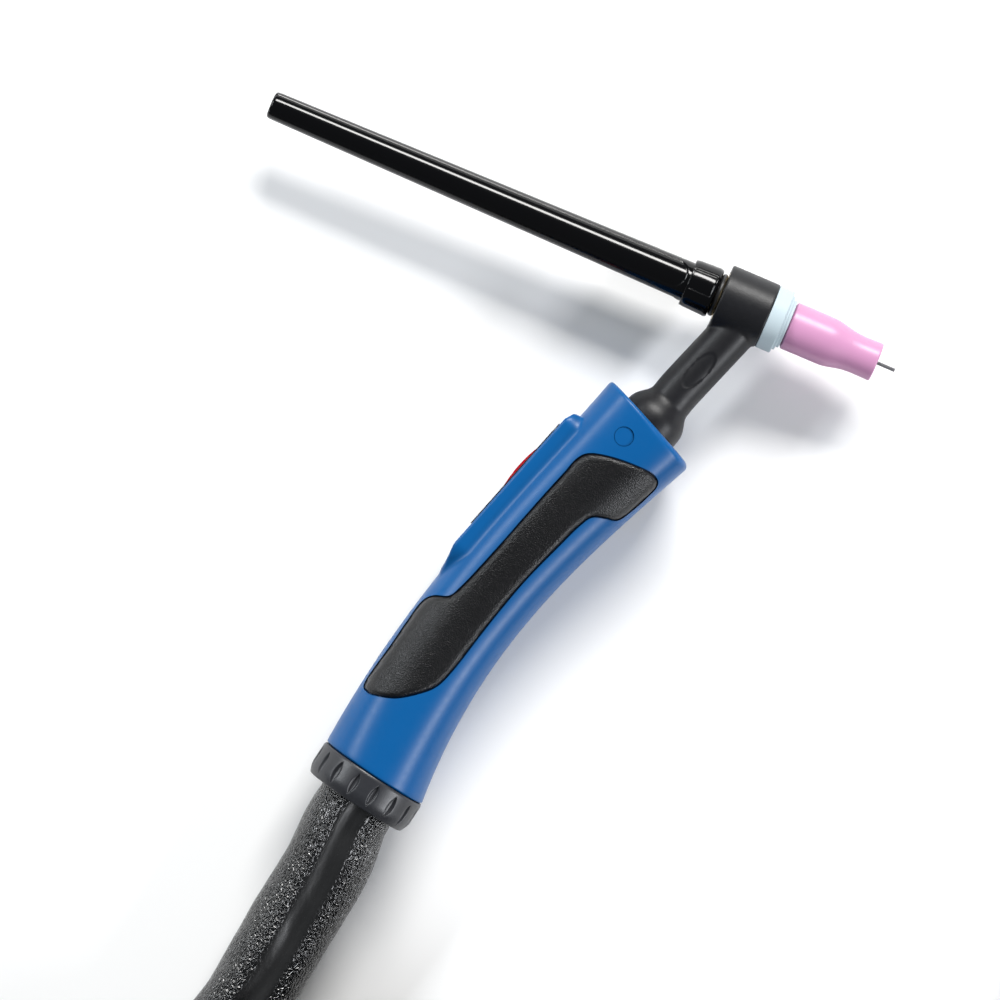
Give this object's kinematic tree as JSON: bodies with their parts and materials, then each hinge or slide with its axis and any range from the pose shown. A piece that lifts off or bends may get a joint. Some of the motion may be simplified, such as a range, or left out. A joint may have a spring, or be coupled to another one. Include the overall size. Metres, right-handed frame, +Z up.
{
  "type": "tig welding torch",
  "caption": "Gas-cooled TIG torch with long back cap, ceramic nozzle, curved handle with switch and grip pads, and a coiled leather-sleeved lead ending in a power plug and a control plug.",
  "frame": {"origin": "centre of the torch's own box, without its lead, on the surface it lies on", "axes": "+X along the electrode towards its tip, +Z up from the surface; the torch lies on its side"},
  "size_m": [0.3368, 0.5178, 0.0761],
  "materials": {
    "tungsten": "drawn, satin",
    "copper": "turned copper",
    "brass": "turned brass",
    "pink_ceramic": "fired alumina, satin",
    "white_ptfe": "satin",
    "head_rubber": "satin moulded rubber",
    "seal_rubber": "smooth",
    "cap_plastic": "gloss phenolic",
    "cable_rubber": "satin",
    "blue_plastic": "satin moulded",
    "grip_rubber": "grained soft rubber",
    "steel": "plated",
    "black_plastic": "satin",
    "red_plastic": "satin gloss",
    "ivory_plastic": "smooth",
    "wire_red": "insulated wire",
    "nut_plastic": "satin moulded",
    "leather_black": "glossy grained leather",
    "strap_black": "woven hook and loop strap",
    "nickel": "nickel plated, satin"
  },
  "bodies": {
    "handle": {"collet": "copper", "collet_body": "copper", "head_core": "brass", "head_cover": "head_rubber", "neck_tube": "copper", "cable_coupling": "brass", "power_cable_end": "cable_rubber", "control_cable_end": "cable_rubber", "handle_left": "blue_plastic", "handle_right": "blue_plastic", "grip_pad_left": "grip_rubber", "grip_pad_right": "grip_rubber", "handle_badges": "blue_plastic", "handle_screws": "steel", "switch_frame": "black_plastic", "trigger_pin": "steel", "switch_spring": "steel", "switch_body": "black_plastic", "switch_leads": "wire_red", "hose_run": "leather_black", "lead_coil": "leather_black", "hose_tail": "leather_black", "coil_ties": "strap_black", "end_boot": "cable_rubber", "power_lead": "cable_rubber", "power_plug_boot": "cable_rubber", "power_plug_pin": "brass", "control_lead": "cable_rubber", "control_plug_body": "black_plastic", "control_plug_pins": "brass"},
    "electrode": {"electrode": "tungsten"},
    "insulator": {"cup_insulator": "white_ptfe"},
    "nozzle": {"nozzle": "pink_ceramic"},
    "cap_seal": {"back_cap_seal": "seal_rubber"},
    "back_cap": {"back_cap": "cap_plastic"},
    "trigger": {"trigger_button": "red_plastic"},
    "plunger": {"switch_plunger": "ivory_plastic"},
    "clamp_ring": {"sleeve_clamp": "black_plastic"},
    "rear_nut": {"rear_nut": "nut_plastic"},
    "control_ring": {"control_plug_ring": "nickel"}
  },
  "joints": [
    {"name": "electrode_slide", "type": "slide", "parent": "handle", "child": "electrode", "axis": [1, 0, 0], "range_m": [-0.008, 0.025]},
    {"name": "back_cap_travel", "type": "slide", "parent": "handle", "child": "cap_seal", "axis": [-1, 0, 0], "range_m": [0, 0.0075]},
    {"name": "back_cap_turn", "type": "hinge", "parent": "cap_seal", "child": "back_cap", "pos_m": [0.01935, 0.08002, 0.0158], "axis": [-1, 0, 0], "range_deg": [0, 2160]},
    {"name": "nozzle_travel", "type": "slide", "parent": "handle", "child": "insulator", "axis": [1, 0, 0], "range_m": [0, 0.0075]},
    {"name": "nozzle_turn", "type": "hinge", "parent": "insulator", "child": "nozzle", "pos_m": [0.06745, 0.08002, 0.0158], "axis": [1, 0, 0], "range_deg": [0, 2160]},
    {"name": "rear_nut_travel", "type": "slide", "parent": "handle", "child": "clamp_ring", "axis": [-0.1805, -0.9836, 0], "range_m": [0, 0.003]},
    {"name": "rear_nut_turn", "type": "hinge", "parent": "clamp_ring", "child": "rear_nut", "pos_m": [0.004, -0.08213, 0.0158], "axis": [-0.1805, -0.9836, 0], "range_deg": [0, 540]},
    {"name": "trigger_press", "type": "hinge", "parent": "handle", "child": "trigger", "pos_m": [0.0111, 0.00857, 0.0158], "axis": [0, 0, -1], "range_deg": [0, 5], "stiffness_Nm_per_rad": 0.2, "springref_deg": -11.46},
    {"name": "plunger_press", "type": "slide", "parent": "handle", "child": "plunger", "axis": [0.9478, -0.319, 0], "range_m": [0, 0.000872]},
    {"name": "control_ring_turn", "type": "hinge", "parent": "handle", "child": "control_ring", "pos_m": [0.198, 0.056, 0.0094], "axis": [0, 1, 0], "continuous": true}
  ],
  "couplings": [
    {"joint": "back_cap_turn", "follows": "back_cap_travel", "rad_per_m": 5026.5},
    {"joint": "nozzle_turn", "follows": "nozzle_travel", "rad_per_m": 5026.5},
    {"joint": "rear_nut_turn", "follows": "rear_nut_travel", "rad_per_m": 3141.6},
    {"joint": "plunger_press", "follows": "trigger_press", "m_per_rad": 0.0098}
  ]
}
